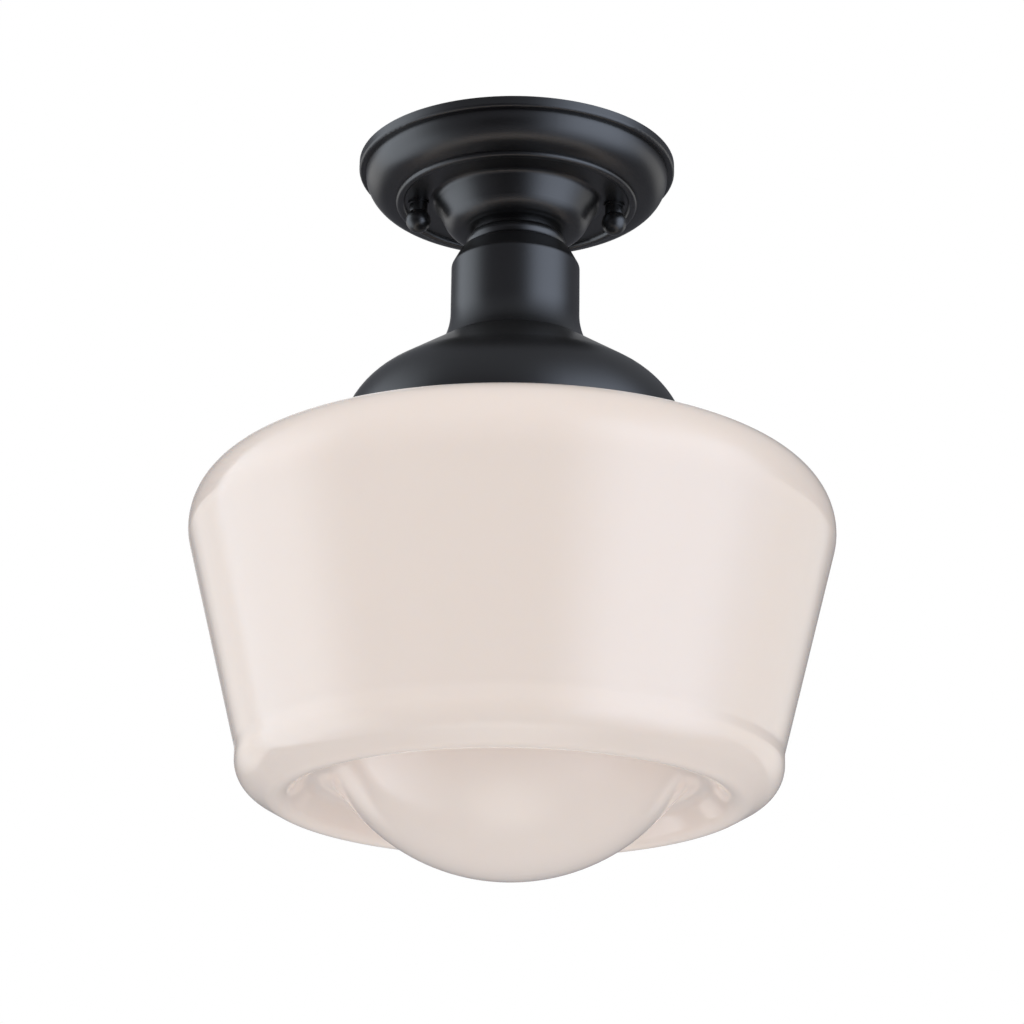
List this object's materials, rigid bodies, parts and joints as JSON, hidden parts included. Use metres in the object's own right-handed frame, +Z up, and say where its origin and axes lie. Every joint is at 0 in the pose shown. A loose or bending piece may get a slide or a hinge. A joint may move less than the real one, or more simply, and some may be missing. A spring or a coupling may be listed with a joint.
{
  "type": "semi flush ceiling light",
  "caption": "Semi flush ceiling light: moulded round canopy, short cylindrical stem and bell-shaped fitter in satin black, holding an opal glass schoolhouse shade with a domed bottom.",
  "frame": {"origin": "on the light's axis in the ceiling plane, midway between the two ceiling-box slots on the strap's upper face", "axes": "+Z up the axis into the ceiling, +X through the ball nuts, +Y along the ceiling strap and away from the picture's viewer"},
  "size_m": [0.254, 0.254, 0.2965],
  "materials": {
    "black_paint": "satin black powder paint",
    "zinc_plate": "zinc plated steel",
    "green_screw": "green passivated",
    "opal_glass": "glossy opal",
    "seal_rubber": "soft translucent silicone",
    "cap_aluminium": "plain drawn sheet",
    "porcelain": "glazed",
    "terminal_brass": "bright",
    "nickel_plate": "nickel plated",
    "lamp_black": "black insulator",
    "lamp_solder": "bright contact",
    "lamp_white": "white moulded",
    "lamp_frost": "frosted white"
  },
  "bodies": {
    "ceiling_strap": {"box_bar": "zinc_plate", "bar_eyelet": "zinc_plate", "ground_screw": "green_screw"},
    "fixture": {"canopy_bar": "zinc_plate", "stud_left": "zinc_plate", "stud_right": "zinc_plate", "stud_nuts": "zinc_plate", "canopy": "black_paint", "neck_ring": "black_paint", "stem": "black_paint", "fitter": "black_paint", "shade_collar": "black_paint", "nipple": "zinc_plate", "canopy_washer": "zinc_plate", "crown_washer": "zinc_plate", "canopy_nut": "zinc_plate", "crown_nut": "zinc_plate", "holder_cap": "cap_aluminium", "set_screw": "zinc_plate", "holder_body": "porcelain", "holder_screws": "zinc_plate", "hot_terminal": "terminal_brass", "neutral_terminal": "nickel_plate", "screw_shell": "nickel_plate", "centre_contact": "terminal_brass"},
    "glass_shade": {"shade": "opal_glass", "shade_seal": "seal_rubber"},
    "lamp": {"lamp_cap": "nickel_plate", "lamp_insulator": "lamp_black", "lamp_contact": "lamp_solder", "lamp_housing": "lamp_white", "lamp_board": "cap_aluminium", "lamp_diffuser": "lamp_frost"},
    "left_ball_nut": {"ball_nut_left": "black_paint"},
    "right_ball_nut": {"ball_nut_right": "black_paint"}
  },
  "joints": [
    {"name": "bar_swivel", "type": "hinge", "parent": "ceiling_strap", "child": "fixture", "pos_m": [0, 0, -0.002], "axis": [0, 0, 1], "range_deg": [-60, 60]},
    {"name": "shade_lower", "type": "slide", "parent": "fixture", "child": "glass_shade", "axis": [0, 0, -1], "range_m": [0, 0.2]},
    {"name": "lamp_unscrew", "type": "slide", "parent": "fixture", "child": "lamp", "axis": [0, 0, -1], "range_m": [0, 0.027]},
    {"name": "left_ball_nut_off", "type": "slide", "parent": "fixture", "child": "left_ball_nut", "axis": [0, 0, -1], "range_m": [0, 0.012]},
    {"name": "right_ball_nut_off", "type": "slide", "parent": "fixture", "child": "right_ball_nut", "axis": [0, 0, -1], "range_m": [0, 0.012]}
  ]
}
